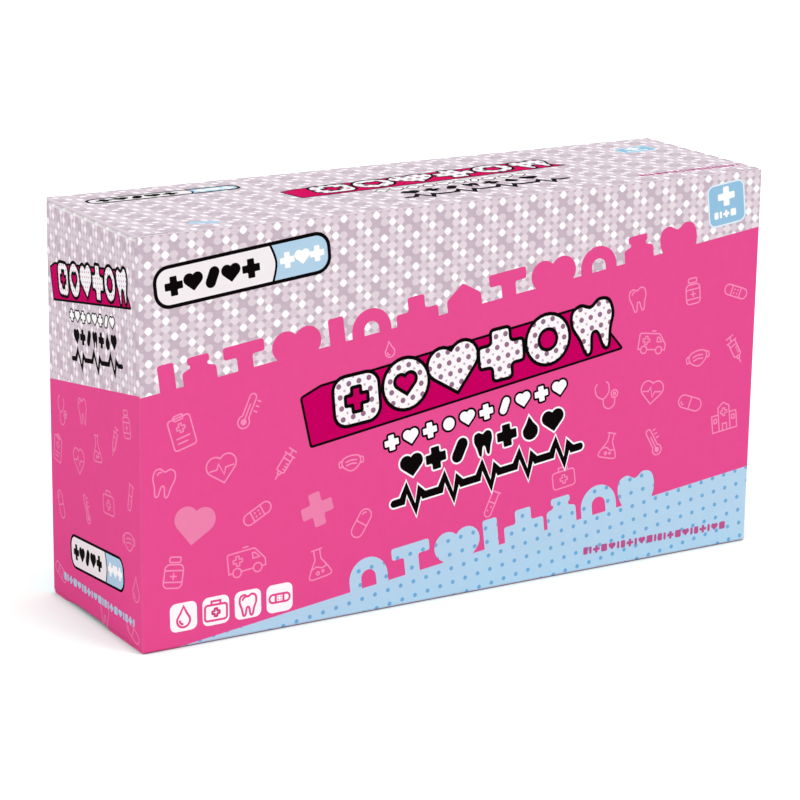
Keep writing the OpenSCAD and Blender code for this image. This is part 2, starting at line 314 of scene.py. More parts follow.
inkNames = dict(pink="Pink", magenta="Magenta", magentaLid="BrightMagenta", berry="Berry", rose="Rose",
                black="Black", white="White", sky="Sky", skyPale="PaleSky", skyEdge="SkyRim",
                iconPink="PalePink", iconShade="SoftPink")
inks = {key: inkMaterial("lithoInk" + name, inkColours[key]) for key, name in inkNames.items()}
inks["paper"] = inkMaterial("coatedPaper", inkColours["paper"])
inks["polka"] = inkMaterial("lithoPolkaBlue", polkaField)
inks["bubbles"] = inkMaterial("lithoDottedWhite", bubbleField)
fineField = partial(bubbleField, step=bubbles["fineStep"], dot="fineDot", pale="finePale")
inks["fineBubbles"] = inkMaterial("lithoFineDottedWhite", fineField)
print("stage: inks ready")


# The board: printed liner under film, a core of flutes, bare liner inside
board = dict(thickness=1.5, liner=0.3, linerEdge=12.0, coreStep=3.3, coreHalf=0.17, coreEdge=10.0,
             printedAbove=0.35, insideAbove=0.9, linerColour="E2DDDC", linerShade="D2CBCA",
             # the darker edge tone of the open flutes is painted shade
             paperEdge="F2E6EC", edgeShade="E7DAE2", hollow="D8CAD3",
             # the liner's tone is a sum of its fibres, clouds and flutes, in these shares
             darkest=-0.1, toneShares=(0.7, 0.3, 0.09), fibreSize=0.8, fibreRough=0.65, fibreDepth=0.012,
             cloudSize=25.0, rippleDepth=0.012, ior=1.45, roughness=0.86,
             creaseWhite=0.04, creaseFacing=(0.80, 0.995))
fields = dict(rise=dict(slope=0.1285, at=149.4), wedge=dict(slope=0.1215, at=20.0),
              endLine=dict(slope=0.149, at=119.7),
              frontSequins=dict(pitch=(4.505, 3.9), start=(2.98, 11.55), tones=strong, patch=0.2),
              endSequins=dict(pitch=(3.05, 3.66), start=(11.3, 10.6), tones=soft, patch=0.6),
              lidSequins=dict(pitch=(4.5, 3.05), start=(1.0, 1.0), tones=mild, patch=0.85))


def mainField(add, u, v):
    # sequins over flat pink, and a wedge of blue polka dots below
    overWedge, overRise = aboveLine(add, u, v, fields["wedge"]), aboveLine(add, u, v, fields["rise"])
    blue, spots = polkaField(add, u, v), sequins(add, u, v, fields["frontSequins"])
    colour = add("Mix RGBA", {0: overWedge, 6: blue, 7: inkColours["pink"]})
    return add("Mix RGBA", {0: overRise, 6: colour, 7: spots})


def endField(add, u, v):
    overLine, spots = aboveLine(add, u, v, fields["endLine"]), sequins(add, u, v, fields["endSequins"])
    return add("Mix RGBA", {0: overLine, 6: inkColours["pink"], 7: spots})


def mirroredEndField(add, u, v):
    other = add("Math MULTIPLY", [u, -1.0])
    return endField(add, other, v)


lidField = partial(sequins, lattice=fields["lidSequins"])
lean = math.radians(8.6)   # the tuck flap's slope
xAxis, yAxis, zAxis, down = (1, 0, 0), (0, 1, 0), (0, 0, 1), (0, 0, -1)
leftward, frontward = (-1, 0, 0), (0, -1, 0)
bottomPlan = dict(outward=down, u=xAxis, v=yAxis, field=inkColours["pink"], flutes=xAxis,
                  also=[(leftward, 177.0), (xAxis, 177.0)])
barePlan = dict(outward=down, field=None, flutes=yAxis)
# each panel's printed side, the axes of its pattern, the way of its flutes, and under "also" the
# directions and limits in mm beyond which the print runs on over a fold
boards = dict(
    front_panel=dict(outward=frontward, u=xAxis, v=zAxis, field=mainField, flutes=xAxis),
    back_panel=dict(outward=yAxis, u=leftward, v=zAxis, field=mainField, flutes=xAxis,
                    also=[(zAxis, 202.3)]),
    left_end_panel=dict(outward=leftward, u=frontward, v=zAxis, field=endField, flutes=yAxis,
                        also=[(zAxis, 199.9)]),
    right_end_panel=dict(outward=xAxis, u=yAxis, v=zAxis, field=mirroredEndField, flutes=yAxis,
                         also=[(zAxis, 199.9)]),
    glue_flap=dict(outward=yAxis, field=None, flutes=xAxis),
    # over a fold the pattern runs on down the curve
    lid_panel=dict(outward=zAxis, u=xAxis, v=(0, 1, 1), field=lidField, flutes=xAxis,
                   also=[(frontward, 48.6)]),
    tuck_flap=dict(outward=(0, -math.cos(lean), -math.sin(lean)), u=xAxis, v=(0, 1, 1), field=lidField,
                   flutes=xAxis),
    # on the dust flaps pale paints the crease under the lid's edge almost white: painted light that lifts
    # the shade of the groove there
    left_dust_flap=dict(outward=zAxis, u=(1, 0, 1), v=yAxis, field=lidField, flutes=yAxis,
                        also=[(leftward, 178.52)], pale=0.9),
    right_dust_flap=dict(outward=zAxis, u=(1, 0, -1), v=yAxis, field=lidField, flutes=yAxis,
                         also=[(xAxis, 178.52)], pale=0.9),
    bottom_front_flap=bottomPlan, bottom_front_web=bottomPlan, bottom_back_flap=bottomPlan,
    bottom_back_web=bottomPlan, bottom_left_flap=barePlan, bottom_right_flap=barePlan,
)


def boardMaterial(node, plan):
    # micro-flute corrugated board: matt film outside, dull fibrous paper inside, open wave on cut edges
    material = bpy.data.materials.new("microFluteBoard_" + node)
    add = startNodes(material)
    place, normal = placeInMm(add)
    outward = plan["outward"]
    outerFace = max(Vector(outward).dot(corner.co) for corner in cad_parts[node].data.vertices) / mm
    facing, level, along = [add("VectorMath DOT_PRODUCT", [what, way], "Value") for what, way in
                            ((normal, outward), (place, outward), (place, plan["flutes"]))]
    depth = add("Math SUBTRACT", [outerFace, level])

    # bare liner, with short fibres and the flutes' washboard
    fibre = add("TexNoise", {"Vector": place, "Scale": 1 / board["fibreSize"], "Detail": 5.0,
                             "Roughness": board["fibreRough"]})
    cloud = add("TexNoise", {"Vector": place, "Scale": 1 / board["cloudSize"], "Detail": 3.0})
    ripple = add("Math MULTIPLY", [along, 2 * math.pi / board["coreStep"]])
    ripple = add("Math SINE", [ripple])
    tone = board["darkest"]
    for part, share in zip((fibre, cloud, ripple), board["toneShares"]):
        tone = add("Math MULTIPLY_ADD", [part, share, tone], use_clamp=part is ripple)
    liner = add("Mix RGBA", {0: tone, 6: board["linerShade"], 7: board["linerColour"]})

    # cut edge: two liners and the wave between them; the open flutes between them take a darker tone,
    # painted shade for their depth
    middle = board["thickness"] / 2
    swing = middle - board["liner"] - board["coreHalf"] / 2
    wave = add("Math MULTIPLY_ADD", [ripple, swing, middle])
    offWave, offMiddle = [add("Math ABSOLUTE", [add("Math SUBTRACT", [depth, line])])
                          for line in (wave, middle)]
    onWave = ramp(add, board["coreHalf"], board["coreEdge"], offWave)
    onLiner = ramp(add, offMiddle, board["linerEdge"], middle - board["liner"])
    paper = add("Math MAXIMUM", [onWave, onLiner])
    edgeTone = add("Mix RGBA", {0: fibre, 6: board["paperEdge"], 7: board["edgeShade"]})
    edge = add("Mix RGBA", {0: paper, 6: board["hollow"], 7: edgeTone})

    # a panel without print shows its liner on both sides
    inward = add("Math MULTIPLY", [facing, -1.0]) if plan["field"] else add("Math ABSOLUTE", [facing])
    isInside = add("Math GREATER_THAN", [inward, board["insideAbove"]])
    bare = add("Mix RGBA", {0: isInside, 6: edge, 7: liner})
    bareHeight = add("Math MULTIPLY", [fibre, board["fibreDepth"]])
    bareHeight = add("Math MULTIPLY_ADD", [ripple, board["rippleDepth"], bareHeight])
    if not plan["field"]:
        finishSurface(add, bare, board["roughness"], bareHeight, board["ior"])
        return material

    isPrinted = add("Math GREATER_THAN", [facing, board["printedAbove"]])
    for axis, limit in plan.get("also", ()):
        reach = add("VectorMath DOT_PRODUCT", [place, axis], "Value")
        reach = add("Math GREATER_THAN", [reach, limit])
        isPrinted = add("Math MAXIMUM", [isPrinted, reach])
    u, v = [add("VectorMath DOT_PRODUCT", [place, plan[axis]], "Value") for axis in ("u", "v")]
    colour, rough, height = filmed(add, place, along, plan["field"], u, v)
    # the print pales a little where the crease stretches it; on the dust flaps, where the plan gives pale,
    # the crease under the lid's edge is painted almost white, painted light against the shade of that
    # groove
    bent, flat = board["creaseFacing"]
    most = plan.get("pale", board["creaseWhite"])
    creaseWearAndPaintedLight = add("MapRange", {0: facing, 1: bent, 2: flat, 3: most, 4: 0.0})
    creaseWearAndPaintedLight = add("Math MULTIPLY", [creaseWearAndPaintedLight, fibre])
    colour = add("Mix RGBA", {0: creaseWearAndPaintedLight, 6: colour, 7: "FFFFFF"})
    colour = add("Mix RGBA", {0: isPrinted, 6: bare, 7: colour})
    rough = add("Mix", {0: isPrinted, 2: board["roughness"], 3: rough})
    height = add("Mix", {0: isPrinted, 2: bareHeight, 3: height})
    finishSurface(add, colour, rough, height, film["ior"])
    return material


for node, plan in boards.items():
    material = boardMaterial(node, plan)
    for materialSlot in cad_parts[node].material_slots:
        materialSlot.material = material
print("stage: board finished on", len(boards), "panels")


# Print tools: each printed shape is a thin closed layer on its face
faces = dict(
    front=dict(body="carton", slot="printed_front", start=(0, cadLow.y, 0), u=xAxis, v=zAxis),
    back=dict(body="carton", slot="printed_back", start=(0, cadHigh.y, 0), u=leftward, v=zAxis),
    left=dict(body="carton", slot="printed_end", start=(cadLow.x, 0, 0), u=frontward, v=zAxis),
    right=dict(body="carton", slot="printed_end", start=(cadHigh.x, 0, 0), u=yAxis, v=zAxis),
    lid=dict(body="lid", slot="printed_lid", start=(0, 0, cadHigh.z), u=xAxis, v=yAxis),
)
layer = dict(sunk=-0.03, first=0.012, step=0.004)   # mm below and above the face
# a ribbon's closest points in mm, the cosine at which a mitre is cut back, and the steps of a round end
stroke = dict(nearest=0.02, sharpest=0.6, capSteps=6)
levels = dict(rising=0, icons=2, blocks=10)   # so that nothing lies over a shape of its own height


def addPlate(group, top, sides, ink, level):
    # top: triangles or quads as lists of flat points; sides: closed rings of flat points
    face = group["face"]
    start, u, v = Vector(face["start"]), Vector(face["u"]), Vector(face["v"])
    out = u.cross(v)
    if ink not in group["inks"]:
        group["inks"].append(ink)
    heights = (layer["sunk"], layer["first"] + layer["step"] * level)
    mesh, corners = group["mesh"], {}

    def corner(point, high):
        key = (round(point[0], 5), round(point[1], 5), high)
        if key not in corners:
            where = start + (u * point[0] + v * point[1] + out * heights[high]) * mm
            corners[key] = mesh.verts.new(where)
        return corners[key]

    made = []
    for patch in top:
        made.append([corner(p, 1) for p in patch])
        made.append([corner(p, 0) for p in reversed(patch)])
    for ring in sides:
        for here, there in zip(ring, ring[1:] + ring[:1]):
            made.append([corner(there, 1), corner(here, 1), corner(here, 0), corner(there, 0)])
    fresh = []
    for patch in made:
        patch = [p for i, p in enumerate(patch) if p is not patch[i - 1]]
        if len(patch) > 2:
            fresh.append(mesh.faces.new(patch))
            fresh[-1].material_index = group["inks"].index(ink)
    bmesh.ops.recalc_face_normals(mesh, faces=fresh)


def addShape(group, ring, ink, level=0, holes=()):
    rings = [list(ring)] + [list(hole) for hole in holes]
    points = [p for each in rings for p in each]
    flat = [[Vector((p[0], p[1], 0)) for p in each] for each in rings]
    patches = [[points[i] for i in patch] for patch in tessellate_polygon(flat)]
    addPlate(group, patches, rings, ink, level)


def addStroke(group, path, width, ink, level=0, closed=False):
    # a ribbon of even width with mitred turns and round ends
    path = [Vector(p) for p in path]
    path = [p for i, p in enumerate(path) if (p - path[i - 1]).length > stroke["nearest"]]
    half, count = width / 2, len(path)
    ribs = []
    for i, here in enumerate(path):
        into = here - path[i - 1] if closed or i else path[1] - path[0]
        onward = path[(i + 1) % count] - here if closed or i < count - 1 else into
        into, onward = into.normalized(), onward.normalized()
        turnIn, turnOn = Vector((-into.y, into.x)), Vector((-onward.y, onward.x))
        mitre = (turnIn + turnOn).normalized()
        mitre = mitre * (half / max(stroke["sharpest"], mitre.dot(turnIn)))
        ribs.append((tuple(here + mitre), tuple(here - mitre)))
    pairs = list(zip(ribs, ribs[1:] + ribs[:1])) if closed else list(zip(ribs, ribs[1:]))
    patches = [[a[1], b[1], b[0], a[0]] for a, b in pairs]
    if closed:
        sides = [[rib[0] for rib in ribs], [rib[1] for rib in reversed(ribs)]]
    else:
        caps, steps = [], stroke["capSteps"]
        for here, rib, toward in ((path[-1], ribs[-1], 1), (path[0], ribs[0], -1)):
            edge = Vector(rib[1 if toward > 0 else 0]) - here
            turned = [math.pi * k / steps for k in range(1, steps)]
            caps.append([(here.x + edge.x * math.cos(t) - edge.y * math.sin(t),
                          here.y + edge.x * math.sin(t) + edge.y * math.cos(t)) for t in turned])
        patches.append([ribs[-1][1]] + caps[0] + [ribs[-1][0]])
        patches.append([ribs[0][0]] + caps[1] + [ribs[0][1]])
        sides = [[rib[1] for rib in ribs] + caps[0] + [rib[0] for rib in reversed(ribs)] + caps[1]]
    addPlate(group, patches, sides, ink, level)


def printSheet(side, sheet):
    # makes each piece of a side from its steps: a function that adds to it, and what that is given
    for name, steps in sheet.items():
        group = dict(face=faces[side], mesh=bmesh.new(), inks=[])
        for step, *given in steps:
            step(group, *given)
        piece = addObject(side + "_" + name, group["mesh"])
        for ink in group["inks"]:
            piece.data.materials.append(inks[ink])
        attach(piece, group["face"]["body"])


# Flat outlines, in millimetres
def placed(points, at=(0, 0), turn=0.0, size=1.0):
    # sized first, then turned, then moved
    across, up = size if isinstance(size, tuple) else (size, size)
    c, s = math.cos(math.radians(turn)), math.sin(math.radians(turn))
    return [(at[0] + x * across * c - y * up * s, at[1] + x * across * s + y * up * c) for x, y in points]


def arc(centre, radius, first, last, count):
    angles = [math.radians(first + (last - first) * k / (count - 1)) for k in range(count)]
    return [(centre[0] + radius * math.cos(a), centre[1] + radius * math.sin(a)) for a in angles]


def circle(radius, centre=(0, 0), count=28):
    return arc(centre, radius, 0, 360 - 360 / count, count)


def roundBox(width, height, radius, count=6):
    w, h = width / 2 - radius, height / 2 - radius
    corners = enumerate([(w, h), (-w, h), (-w, -h), (w, -h)])
    return [p for k, centre in corners for p in arc(centre, radius, 90 * k, 90 * k + 90, count)]


def smooth(points, closed=True, steps=5):
    # a curve through the points
    count, found = len(points), []
    spans = range(count if closed else count - 1)
    for i in spans:
        a, b, c, d = [Vector(points[(i + k) % count] if closed else points[min(max(i + k, 0), count - 1)])
                      for k in (-1, 0, 1, 2)]
        for k in range(steps):
            t = k / steps
            p = 0.5 * (2 * b + (c - a) * t + (2 * a - 5 * b + 4 * c - d) * t * t
                       + (3 * b - a - 3 * c + d) * t ** 3)
            found.append((p.x, p.y))
    return found if closed else found + [tuple(points[-1])]


def rounded(points, radius, count=4):
    # a polygon with each corner cut back into a small curve
    found, total = [], len(points)
    for i, point in enumerate(points):
        here, before, after = Vector(point), Vector(points[i - 1]), Vector(points[(i + 1) % total])
        back = here + (before - here).normalized() * min(radius, (before - here).length / 2.1)
        front = here + (after - here).normalized() * min(radius, (after - here).length / 2.1)
        for k in range(count + 1):
            t = k / count
            p = back * (1 - t) ** 2 + here * 2 * t * (1 - t) + front * t * t
            found.append((p.x, p.y))
    return found


def heart(width):
    # two round lobes that meet in a notch, over a straight-sided tip
    r, aside, up = 0.285 * width, 0.215 * width, 0.146 * width
    right = arc((aside, up), r, -48, 139, 12)
    left = arc((-aside, up), r, 41, 228, 12)
    return right + left[1:] + [(0, up - 0.577 * width)]


def mirrored(half):
    # a symmetric outline from its right half, which is listed upwards or downwards
    return half + [(-x, y) for x, y in reversed(half) if x]


def cross(size, arm, radius):
    s, a = size / 2, arm / 2
    return rounded(mirrored([(a, -s), (a, -a), (s, -a), (s, a), (a, a), (a, s)]), radius)


def drop(width, height):
    r = width / 2
    low = -height / 2 + r
    neck = low + (height - r) * 0.55
    return arc((0, low), r, -200, 20, 18) + [(r * 0.45, neck), (0, height / 2), (-r * 0.45, neck)]


def tooth(size):
    # drawn 14.5 high, with two roots
    half = [(0, 5.4), (2.8, 6.8), (5.6, 5.6), (6.2, 1.6), (4.7, -2.6), (3.5, -7.4), (1.9, -7.2),
            (1.0, -2.9), (0, -1.9)]
    return placed(smooth(mirrored(half), steps=4), size=size / 14.5)


# Line icons, each about 18 mm: lists of a kind and the outlines drawn that way
def lineIcons():
    icons = {}
    icons["syringe"] = [
        ("loop", roundBox(5.4, 11, 1.0, 3)),
        ("line", [(0, 5.6), (0, 8.6)], [(-2.7, 8.8), (2.7, 8.8)], [(-3.7, 5.5), (3.7, 5.5)],
         [(-2.6, 2.4), (2.6, 2.4)], [(-1.1, -5.6), (-0.9, -7.2), (0.9, -7.2), (1.1, -5.6)],
         [(0, -7.2), (0, -10.4)], [(0.9, 0.2), (2.6, 0.2)], [(0.9, -1.6), (2.6, -1.6)],
         [(0.9, -3.4), (2.6, -3.4)])]
    icons["pill"] = [("loop", roundBox(8, 18, 4, 8)),
                     ("line", [(-4, 0), (4, 0)], arc((0, 5), 2.1, 110, 185, 6))]
    beat = [(-7.6, 0.6), (-3.2, 0.6), (-1.6, 3.6), (0.8, -3.4), (2.4, 0.6), (7.6, 0.6)]
    icons["heartbeat"] = [("loop", heart(19)), ("line", beat)]
    belly = [(-1.9, 2.6), (-6.6, -5.4), (-6.0, -8.0), (0, -8.3), (6.0, -8.0), (6.6, -5.4), (1.9, 2.6)]
    liquid = [(-4.6, -2.4), (-1.6, -1.6), (1.6, -3.0), (4.6, -2.2)]
    icons["flask"] = [
        ("line", [(-1.9, 8)] + smooth(belly, False) + [(1.9, 8)], [(-3.2, 8.2), (3.2, 8.2)],
         smooth(liquid, False)),
        ("loop", circle(0.9, (-1.4, -5.4), 12), circle(0.6, (1.8, -5.0), 10))]
    yoke = [(-4.6, 8.6), (-6.2, 6.4), (-5.6, 1.6), (-1.2, -1.6), (3.2, 1.6), (3.8, 6.4), (2.2, 8.6)]
    hose = [(-1.2, -1.6), (-1.0, -6.4), (2.6, -8.8), (6.4, -7.0), (7.2, -3.0)]
    icons["stethoscope"] = [("line", smooth(yoke, False), smooth(hose, False)),
                            ("loop", circle(2.4, (7.3, -0.4), 18), circle(0.8, (7.3, -0.4), 10))]
    icons["thermometer"] = [
        ("loop", arc((0, 7.2), 1.9, 0, 180, 9) + arc((0, -6.2), 3.3, 125, 415, 20)),
        ("line", [(0, 3.4), (0, -5.0)]), ("fill", circle(1.7, (0, -6.2), 16)),
        ("line", [(3.4, 6.4), (5.0, 6.4)], [(3.4, 3.6), (5.0, 3.6)], [(3.4, 0.8), (5.0, 0.8)])]
    pores = [circle(0.65, place, 10) for place in ((-1.4, 1.3), (1.4, 1.3), (-1.4, -1.3), (1.4, -1.3))]
    icons["plaster"] = [("loop", roundBox(20, 7.4, 3.6, 7)),
                        ("line", [(-3.8, -3.6), (-3.8, 3.6)], [(3.8, -3.6), (3.8, 3.6)]), ("fill", *pores)]
    icons["tooth"] = [("loop", tooth(16)), ("line", arc((-2.0, 3.4), 2.4, 95, 165, 6))]
    body = ([(-7.9, -4.6), (-10, -4.6)] + arc((-8.8, 4.2), 1.2, 180, 90, 4)
            + arc((4.2, 3.6), 1.8, 90, 40, 4) + [(9.2, 0.2), (10.2, -1.2), (10.2, -4.6), (8.1, -4.6)])
    icons["ambulance"] = [
        ("line", body, [(-3.3, -4.6), (3.4, -4.6)]),
        ("loop", circle(2.3, (-5.6, -4.8), 18), circle(2.3, (5.7, -4.8), 18),
         [(3.6, 0.4), (3.6, 3.2), (4.8, 3.2), (7.4, 0.4)], placed(cross(5.0, 1.7, 0.2), (-4.6, 1.0))),
        ("line", [(-1.0, 7.0), (1.6, 7.0)])]
    icons["clinic"] = [
        ("line", [(-8.4, -7.4), (-8.4, 2.4), (-3.8, 2.4)], [(8.4, -7.4), (8.4, 2.4), (3.8, 2.4)]),
        ("loop", [(-3.8, -7.4), (3.8, -7.4), (3.8, 6.4), (0, 9.0), (-3.8, 6.4)]),
        ("line", [(-8.4, -7.4), (8.4, -7.4)]), ("loop", placed(cross(4.4, 1.5, 0.2), (0, 3.4))),
        ("line", [(-1.4, -7.2), (-1.4, -3.4), (1.4, -3.4), (1.4, -7.2)]),
        ("loop", *[placed(roundBox(1.9, 2.4, 0.3, 2), (x, -0.8)) for x in (-6.1, 6.1)])]
    icons["clipboard"] = [
        ("loop", roundBox(12.6, 16.4, 1.6, 4), placed(roundBox(5.4, 2.6, 0.9, 3), (0, 8.2)),
         placed(cross(4.6, 1.6, 0.2), (0, 2.6))),
        ("line", [(-3.6, -2.4), (3.6, -2.4)], [(-3.6, -5.0), (1.8, -5.0)])]
    icons["bag"] = [
        ("loop", placed(roundBox(18, 12, 2.2, 5), (0, -1.4))),
        ("line", [(-3.6, 4.8), (-3.6, 7.4), (3.6, 7.4), (3.6, 4.8)]),
        ("loop", placed(cross(6.0, 2.1, 0.3), (0, -1.4)))]
    icons["bottle"] = [
        ("loop", placed(roundBox(6.6, 3.0, 0.8, 3), (0, 7.6)),
         placed(roundBox(11, 13, 2.6, 5), (0, -1.6))),
        ("line", [(-5.4, 1.6), (5.4, 1.6)], [(-5.4, -4.8), (5.4, -4.8)], [(-1.7, -1.6), (1.7, -1.6)],
         [(0, 0.1), (0, -3.3)])]
    straps = [smooth([(-6.8 * way, 3.0), (-9.6 * way, 2.0), (-9.4 * way, -1.6), (-6.9 * way, -1.4)], False)
              for way in (1, -1)]
    pleats = [smooth([(-half, y), (0, y + 0.7), (half, y)], False)
              for half, y in ((4.2, 1.2), (4.0, -1.4))]
    cloth = [(-6.6, 3.6), (0, 5.2), (6.6, 3.6), (7.0, -1.6), (0, -6.0), (-7.0, -1.6)]
    icons["mask"] = [("loop", smooth(cloth)), ("line", *straps, *pleats)]
    glass = [(-2.6, 8.4), (-2.6, -5.6)] + arc((0, -5.8), 2.6, 180, 360, 9) + [(2.6, 8.4)]
    icons["tube"] = [("line", glass, [(-3.8, 8.6), (3.8, 8.6)], [(-2.5, 1.4), (2.5, 1.4)]),
                     ("fill", circle(0.7, (0.6, -1.6), 10), circle(0.6, (-0.8, -4.4), 10))]
    icons["drop"] = [("loop", drop(10.5, 16)), ("line", arc((0, -2.7), 3.0, 185, 255, 7))]
    icons["solidHeart"] = [("fill", heart(17))]
    icons["solidCross"] = [("fill", cross(16, 5.8, 1.0))]
    return {name: [(kind, path) for kind, *paths in parts for path in paths]
            for name, parts in icons.items()}


icons = lineIcons()
iconPlan = dict(line=0.72, apart=0.5)   # stroke width in mm, and print levels from one stroke to the next


def addIcon(group, name, at, turn, size, ink="iconPink", width=iconPlan["line"], level=levels["icons"]):
    for place, (kind, points) in enumerate(icons[name]):
        points = placed(points, at, turn, size)
        high = level + iconPlan["apart"] * place
        if kind == "fill":
            addShape(group, points, ink, high)
        else:
            addStroke(group, points, width, ink, high, closed=kind == "loop")


# Two-part lozenge in a heavy black outline, with small marks inside
badge = dict(length=92.4, height=19.0, radius=7.2, split=14.9, bow=2.6, line=1.8, bowLine=1.2)
slantPill = placed(roundBox(5.4, 10.6, 2.7, 6), turn=-26)
blackMarks = [(cross(9.4, 3.7, 0.5), -36.6), (heart(10.2), -26.4), (slantPill, -16.4), (heart(10.2), -6.6),
              (cross(9.4, 3.7, 0.5), 4.0)]
whiteMarks = [(cross(7.8, 3.0, 0.4), 23.4), (heart(8.4), 31.6), (cross(7.8, 3.0, 0.4), 39.6)]


def addBadge(group, at, turn, size, bold=1.0):
    half, h, split, r = badge["length"] / 2, badge["height"] / 2, badge["split"], badge["radius"]
    x, y, thick = half - r, h - r, math.sqrt(size[0] * size[1]) * bold
    bow = smooth([(split, h), (split + badge["bow"], 0), (split, -h)], False, 6)
    left = arc((-x, y), r, 90, 180, 8) + arc((-x, -y), r, 180, 270, 8)
    right = arc((x, -y), r, 270, 360, 8) + arc((x, y), r, 0, 90, 8)
    level = levels["blocks"]
    addShape(group, placed(bow + left[::-1], at, turn, size)[::-1], "paper", level)
    addShape(group, placed(bow + right, at, turn, size), "skyPale", level + 0.5)
    addStroke(group, placed(bow, at, turn, size), badge["bowLine"] * thick, "black", level + 1.5)
    addStroke(group, placed(left + right, at, turn, size), badge["line"] * thick, "black", level + 2, True)
    for marks, ink in ((blackMarks, "black"), (whiteMarks, "white")):
        for ring, x in marks:
            ring = placed(ring, (x, 0), 0, (1.0, bold))
            addShape(group, placed(ring, at, turn, size), ink, level + 3)


# Magenta block with a row of big dotted shapes, all in black outline
banner = dict(line=1.3, shapeLine=1.85, corner=1.2, step=28.1, first=-63.4, up=4.2, apart=0.4,
              block=[(-93.4, 13.2), (-91.5, -12.6), (93.2, -12.6), (87.0, -3.0), (70.0, 15.5),
                     (-82.0, 16.3)])
bannerRow = [(roundBox(26.0, 25.4, 7.0, 6), [cross(12.6, 5.0, 0.6)], -3), (circle(13.3), [heart(12.4)], 0),
             (heart(30.0), [], 3), (cross(26.8, 11.6, 2.4), [], -3), (circle(13.3), [circle(5.4)], 0),
             (placed(tooth(26.6), size=(1.12, 1.0)), [], 4)]


def addBanner(group, at, turn, size, thick=1.0, tall=1.0, dots="bubbles", ink="magenta"):
    level = levels["blocks"]
    block = placed(rounded(banner["block"], banner["corner"], 3), at, turn, size)
    addShape(group, block, ink, level)
    addStroke(group, block, banner["line"] * thick, "black", level + 1, closed=True)
    for k, (ring, holes, spin) in enumerate(bannerRow):
        centre = (banner["first"] + banner["step"] * k, banner["up"])
        rings = [placed(placed(placed(each, (0, 0), spin), centre, 0, (1.0, tall)), at, turn, size)
                 for each in [ring] + holes]
        addShape(group, rings[0], dots, level + 2.2 + k * banner["apart"], rings[1:])
        for each in rings:
            high = level + 5 + k * banner["apart"]
            addStroke(group, each, banner["shapeLine"] * thick, "black", high, closed=True)


# Rows of small bold shapes
smallCross, smallHeart = cross(8.0, 3.2, 0.5), heart(8.8)
smallRow = [smallCross, smallHeart, smallCross, circle(3.3), smallHeart, smallCross,
            placed(roundBox(4.2, 9, 2.1, 6), turn=-28), smallHeart, smallCross, smallHeart]
boldRow = [heart(13.4), cross(11.8, 4.9, 0.8), placed(roundBox(6.4, 13.2, 3.2, 6), turn=-32), tooth(12.6),
           cross(11.8, 4.9, 0.8), drop(9.2, 12.8), heart(13.4)]


def addRow(group, rings, start, end, ink, rim, rimInk, size=1.0):
    # shapes spread evenly from start to end, each with an even rim
    count, level = len(rings), levels["blocks"]
    turn = math.degrees(math.atan2(end[1] - start[1], end[0] - start[0]))
    for k, ring in enumerate(rings):
        t = (k + 0.5) / count
        at = (start[0] + (end[0] - start[0]) * t, start[1] + (end[1] - start[1]) * t)
        ring = placed(ring, at, turn, size)
        if rim:
            addStroke(group, ring, rim * 2, rimInk, level, closed=True)
        addShape(group, ring, ink, level + 1)


# A heartbeat line in one bold stroke; a beat's points are shares of its length and height
pulse = ((0.22, 0), (0.36, 0.5), (0.54, -0.5), (0.68, 0.24), (0.78, 0))


def addPulse(group, start, end, height, ink, width, rim, rimInk, beats):
    span, level = Vector(end) - Vector(start), levels["blocks"]
    turn = math.degrees(math.atan2(span.y, span.x))
    step = span.length / beats
    path = [(0, 0)] + [(k * step + x * step, y * height) for k in range(beats) for x, y in pulse]
    path = placed(path + [(span.length, 0)], start, turn)
    if rim:
        addStroke(group, path, width + rim * 2, rimInk, level)
    addStroke(group, path, width, ink, level + 1)


# A dense line of small bars, boxes, crosses and hearts; every measure is a share of its height
marks = dict(gap=0.22, tall=0.92, corner=0.16, arm=0.34, armCorner=0.06,
             widths=dict(box=0.62, wide=0.85, bar=0.34, cross=0.95, heart=1.0),
             order="box bar cross wide heart bar box cross bar heart wide bar".split())


def addMarks(group, start, end, ink, height):
    span = Vector(end) - Vector(start)
    turn = math.degrees(math.atan2(span.y, span.x))
    x, k = 0.0, 0
    while True:
        kind = marks["order"][k % len(marks["order"])]
        reach = height * marks["widths"][kind]
        if x + reach > span.length:
            return
        if kind == "cross":
            ring = cross(reach, height * marks["arm"], height * marks["armCorner"])
        elif kind == "heart":
            ring = heart(reach)
        else:
            ring = roundBox(reach, height * marks["tall"], height * marks["corner"], 4)
        addShape(group, placed(placed(ring, (x + reach / 2, 0)), start, turn), ink, levels["blocks"] + 3)
        x += reach + height * marks["gap"]
        k += 1


# Blue tile with a pale rim, a white cross and a line of marks
tilePlan = dict(side=23.5, radius=4.0, rim=0.9, cross=(11.0, 3.8, 0.7), crossUp=4.4,
                marksFrom=(-8.4, -5.6), marksTo=(8.6, -5.6), marks=4.4)


def addTile(group, at, turn, size):
    level, side = levels["blocks"], tilePlan["side"]
    tile = placed(roundBox(side, side, tilePlan["radius"], 8), at, turn, size)
    addShape(group, tile, "sky", level)
    addStroke(group, tile, tilePlan["rim"], "skyEdge", level + 1, closed=True)
    middle = placed(cross(*tilePlan["cross"]), (0, tilePlan["crossUp"]))
    addShape(group, placed(middle, at, turn, size), "white", level + 2)
    start, end = placed([tilePlan["marksFrom"], tilePlan["marksTo"]], at, turn, size)
    addMarks(group, start, end, "white", tilePlan["marks"] * size[1])


# Silhouettes that come up out of the colour below, as if half sunk in it
rising = dict(below=-7.0, corner=1.5)


